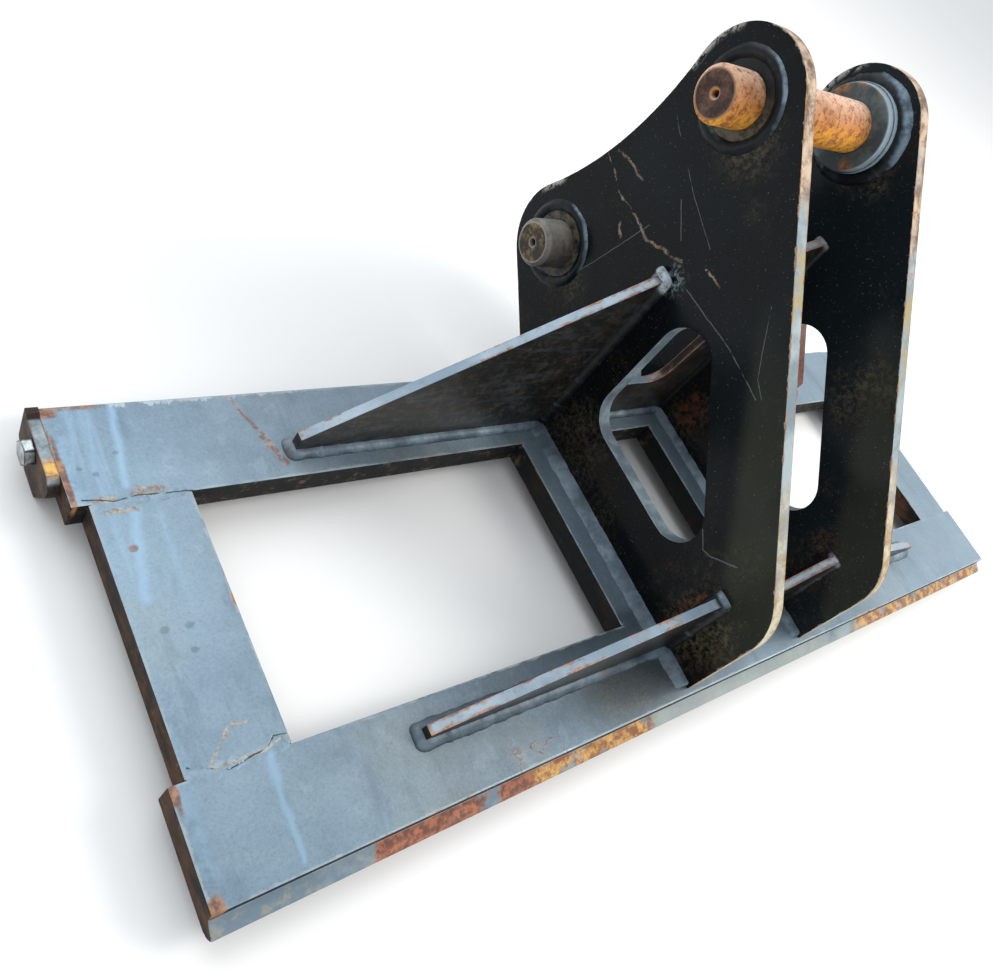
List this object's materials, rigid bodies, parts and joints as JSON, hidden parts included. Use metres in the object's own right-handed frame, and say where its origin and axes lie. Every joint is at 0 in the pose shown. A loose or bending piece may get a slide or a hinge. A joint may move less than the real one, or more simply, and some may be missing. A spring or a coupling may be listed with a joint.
{
  "type": "fork carriage quick coupler frame",
  "caption": "Fork carriage frame for an excavator quick coupler: two tongued fork bars joined by uprights, with two windowed ears carrying two hitch pins.",
  "frame": {"origin": "middle of the frame's length and of its height between the two fork tongues, on the fork face", "axes": "+X along the fork bars, to the side of the pins' flags; +Y from the lower to the upper fork bar; +Z away from the forks, towards the pins"},
  "size_m": [1.55, 0.6575, 0.601],
  "materials": {
    "frame_paint": "worn black gloss paint, weathered grey, rust at its edges",
    "hitch_paint": "black gloss paint, rust on cut edges and scratches",
    "rusty_pin": "bare steel under bright rust",
    "worn_pin": "bare steel, brown, worn",
    "stop_paint": "black paint, rust on its cut edges",
    "zinc_bolt": "zinc plated"
  },
  "bodies": {
    "frame": {"lower_fork_bar": "frame_paint", "upper_fork_bar": "frame_paint", "left_end_plate": "frame_paint", "left_middle_member": "frame_paint", "right_end_plate": "frame_paint", "right_middle_member": "frame_paint", "left_ear": "hitch_paint", "right_ear": "hitch_paint", "left_main_boss": "hitch_paint", "left_link_boss": "hitch_paint", "right_main_boss": "hitch_paint", "right_link_boss": "hitch_paint", "left_upper_gusset": "hitch_paint", "left_lower_gusset": "hitch_paint", "right_upper_gusset": "hitch_paint", "right_lower_gusset": "hitch_paint", "upper_cross_plate": "hitch_paint", "lower_cross_plate": "hitch_paint"},
    "main_pin": {"main_pin": "rusty_pin", "main_pin_flag": "hitch_paint"},
    "main_pin_bolt": {"main_pin_bolt": "zinc_bolt"},
    "link_pin": {"link_pin": "worn_pin", "link_pin_flag": "hitch_paint"},
    "link_pin_bolt": {"link_pin_bolt": "zinc_bolt"},
    "left_stop_bolt": {"left_stop_bolt": "zinc_bolt"},
    "left_stop_plate": {"left_stop_plate": "stop_paint"},
    "right_stop_bolt": {"right_stop_bolt": "zinc_bolt"},
    "right_stop_plate": {"right_stop_plate": "stop_paint"}
  },
  "joints": [
    {"name": "main_pin_draw", "type": "slide", "parent": "frame", "child": "main_pin", "axis": [1, 0, 0], "range_m": [0, 0.33]},
    {"name": "main_pin_bolt_draw", "type": "slide", "parent": "main_pin", "child": "main_pin_bolt", "axis": [1, 0, 0], "range_m": [0, 0.03]},
    {"name": "link_pin_draw", "type": "slide", "parent": "frame", "child": "link_pin", "axis": [1, 0, 0], "range_m": [0, 0.33]},
    {"name": "link_pin_bolt_draw", "type": "slide", "parent": "link_pin", "child": "link_pin_bolt", "axis": [1, 0, 0], "range_m": [0, 0.03]},
    {"name": "left_stop_bolt_draw", "type": "slide", "parent": "frame", "child": "left_stop_bolt", "axis": [-1, 0, 0], "range_m": [0, 0.055]},
    {"name": "left_stop_swivel", "type": "hinge", "parent": "left_stop_bolt", "child": "left_stop_plate", "pos_m": [-0.759, 0.209, 0.016], "axis": [-1, 0, 0], "continuous": true},
    {"name": "right_stop_bolt_draw", "type": "slide", "parent": "frame", "child": "right_stop_bolt", "axis": [1, 0, 0], "range_m": [0, 0.055]},
    {"name": "right_stop_swivel", "type": "hinge", "parent": "right_stop_bolt", "child": "right_stop_plate", "pos_m": [0.759, 0.209, 0.016], "axis": [1, 0, 0], "continuous": true}
  ]
}
